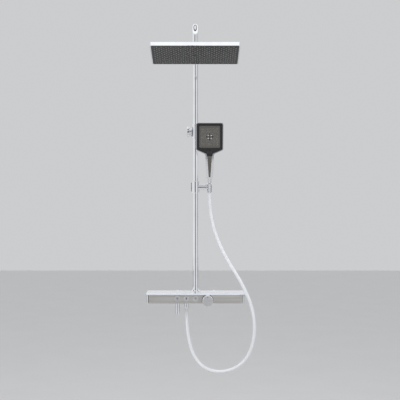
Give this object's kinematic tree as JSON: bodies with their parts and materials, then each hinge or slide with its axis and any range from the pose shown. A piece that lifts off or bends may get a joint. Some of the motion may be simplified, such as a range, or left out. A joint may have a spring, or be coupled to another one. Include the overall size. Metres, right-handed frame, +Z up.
{
  "type": "rainfall shower column",
  "caption": "Wall shower column: shelf-shaped thermostatic mixer, riser with sliding hand shower and hose, gooseneck arm with a tilting rain head.",
  "frame": {"origin": "on the wall plane, midway between the two water inlets, at their height", "axes": "+X to the right of a person facing the wall, +Y into the wall, +Z up along the riser"},
  "size_m": [0.443, 0.5117, 1.3745],
  "materials": {
    "chrome": "polished",
    "brass": "cast and turned",
    "spring_steel": "bright",
    "dark_face": "satin dark grey",
    "seal_rubber": "matt",
    "white_plastic": "moulded",
    "hose_silver": "silver, lightly ribbed",
    "shelf_plate": "pale gloss",
    "satin_panel": "satin",
    "grey_face": "warm dark grey, satin",
    "chromed_plastic": "chrome plated",
    "dark_button": "gloss"
  },
  "bodies": {
    "column": {"aerator": "white_plastic", "bracket_collar": "chrome", "bracket_cover": "chromed_plastic", "bracket_plate": "chrome", "bracket_screws": "spring_steel", "end_cap_left": "chrome", "end_cap_right": "chrome", "front_panel": "satin_panel", "hand_button_spring": "spring_steel", "head_button_spring": "spring_steel", "hose": "hose_silver", "hose_outlet": "brass", "inlet_washers": "seal_rubber", "mixer_body": "brass", "outlet_nut": "chrome", "riser_base_nut": "chrome", "riser_tube": "chrome", "scale_ring": "dark_face", "shelf_casing": "chrome", "shelf_seal": "seal_rubber", "shelf_top": "shelf_plate", "spacer_rod": "chrome", "spout": "chrome", "spout_button_spring": "spring_steel", "thermostat_cartridge": "white_plastic", "union_nuts": "chrome", "valve_cartridges": "brass", "wall_flanges": "chrome", "wall_unions": "brass"},
    "spout_push": {"spout_button": "chromed_plastic"},
    "hand_push": {"hand_button": "chromed_plastic"},
    "head_push": {"head_button": "chromed_plastic"},
    "knob": {"temperature_knob": "chromed_plastic", "knob_cap": "chromed_plastic"},
    "stop": {"temperature_stop": "chromed_plastic"},
    "clamp": {"clamp_knob": "chromed_plastic"},
    "arm": {"shower_arm": "chrome", "arm_spigot": "brass", "spigot_seals": "seal_rubber", "ball_stud": "chrome"},
    "seat": {"ball_seat": "white_plastic"},
    "wear_ring": {"ball_washer": "white_plastic"},
    "head": {"head_casing": "chrome", "ball_nut": "chrome", "nozzle_mat": "seal_rubber", "head_face": "dark_face"},
    "sleeve": {"slider_sleeve": "white_plastic"},
    "slider": {"slider_collar": "chromed_plastic", "holder_pin": "chrome"},
    "release": {"release_button": "chromed_plastic"},
    "holder": {"hand_holder": "chromed_plastic"},
    "cone": {"cone_nut": "chrome"},
    "hand_shower": {"hand_shower_shell": "chromed_plastic", "hand_inlet": "brass", "handle_inlay": "grey_face", "hand_bezel": "dark_face", "hand_face": "grey_face", "hand_nozzle_mat": "seal_rubber"},
    "mode": {"mode_button": "dark_button"}
  },
  "joints": [
    {"name": "spout_press", "type": "slide", "parent": "column", "child": "spout_push", "axis": [0, 1, 0], "range_m": [0, 0.004], "stiffness_N_per_m": 500, "springref_m": -0.002, "deforming": ["spout_button_spring"]},
    {"name": "hand_press", "type": "slide", "parent": "column", "child": "hand_push", "axis": [0, 1, 0], "range_m": [0, 0.004], "stiffness_N_per_m": 500, "springref_m": -0.002, "deforming": ["hand_button_spring"]},
    {"name": "head_press", "type": "slide", "parent": "column", "child": "head_push", "axis": [0, 1, 0], "range_m": [0, 0.004], "stiffness_N_per_m": 500, "springref_m": -0.002, "deforming": ["head_button_spring"]},
    {"name": "temperature_turn", "type": "hinge", "parent": "column", "child": "knob", "pos_m": [0.049, 0, -0.0065], "axis": [0, -1, 0], "range_deg": [-140, 100]},
    {"name": "stop_press", "type": "slide", "parent": "knob", "child": "stop", "axis": [0, 0, 1], "range_m": [0, 0.002], "stiffness_N_per_m": 500, "springref_m": -0.002},
    {"name": "clamp_turn", "type": "hinge", "parent": "column", "child": "clamp", "pos_m": [0, -0.062, 0.676], "axis": [-1, 0, 0], "range_deg": [-90, 90]},
    {"name": "arm_swivel", "type": "hinge", "parent": "column", "child": "arm", "pos_m": [0, -0.062, 0], "axis": [0, 0, 1], "range_deg": [-45, 45]},
    {"name": "head_tilt", "type": "hinge", "parent": "arm", "child": "seat", "pos_m": [0, -0.381, 0.971], "axis": [1, 0, 0], "range_deg": [-3, 27]},
    {"name": "head_lean", "type": "hinge", "parent": "seat", "child": "wear_ring", "pos_m": [0, -0.381, 0.971], "axis": [0, 0.9755, -0.2198], "range_deg": [-10, 10]},
    {"name": "head_spin", "type": "hinge", "parent": "wear_ring", "child": "head", "pos_m": [0, -0.381, 0.971], "axis": [0, 0.2198, 0.9755], "continuous": true},
    {"name": "slider_slide", "type": "slide", "parent": "column", "child": "sleeve", "axis": [0, 0, 1], "range_m": [-0.3, 0.17], "deforming": ["hose"]},
    {"name": "slider_swivel", "type": "hinge", "parent": "sleeve", "child": "slider", "pos_m": [0, -0.062, 0.449], "axis": [0, 0, 1], "range_deg": [-90, 30], "deforming": ["hose"]},
    {"name": "release_press", "type": "slide", "parent": "slider", "child": "release", "axis": [1, 0, 0], "range_m": [0, 0.002], "stiffness_N_per_m": 500, "springref_m": -0.002},
    {"name": "holder_tilt", "type": "hinge", "parent": "slider", "child": "holder", "pos_m": [0.057, -0.062, 0.449], "axis": [1, 0, 0], "range_deg": [-5, 22], "deforming": ["hose"]},
    {"name": "hand_lift", "type": "slide", "parent": "holder", "child": "cone", "axis": [0, -0.2419, 0.9703], "range_m": [0, 0.04], "deforming": ["hose"]},
    {"name": "hand_turn", "type": "hinge", "parent": "cone", "child": "hand_shower", "pos_m": [0.057, -0.062, 0.449], "axis": [0, -0.2419, 0.9703], "range_deg": [-3, 120]},
    {"name": "mode_press", "type": "slide", "parent": "hand_shower", "child": "mode", "axis": [0, 0.9703, 0.2419], "range_m": [0, 0.0018], "stiffness_N_per_m": 400, "springref_m": -0.002}
  ]
}
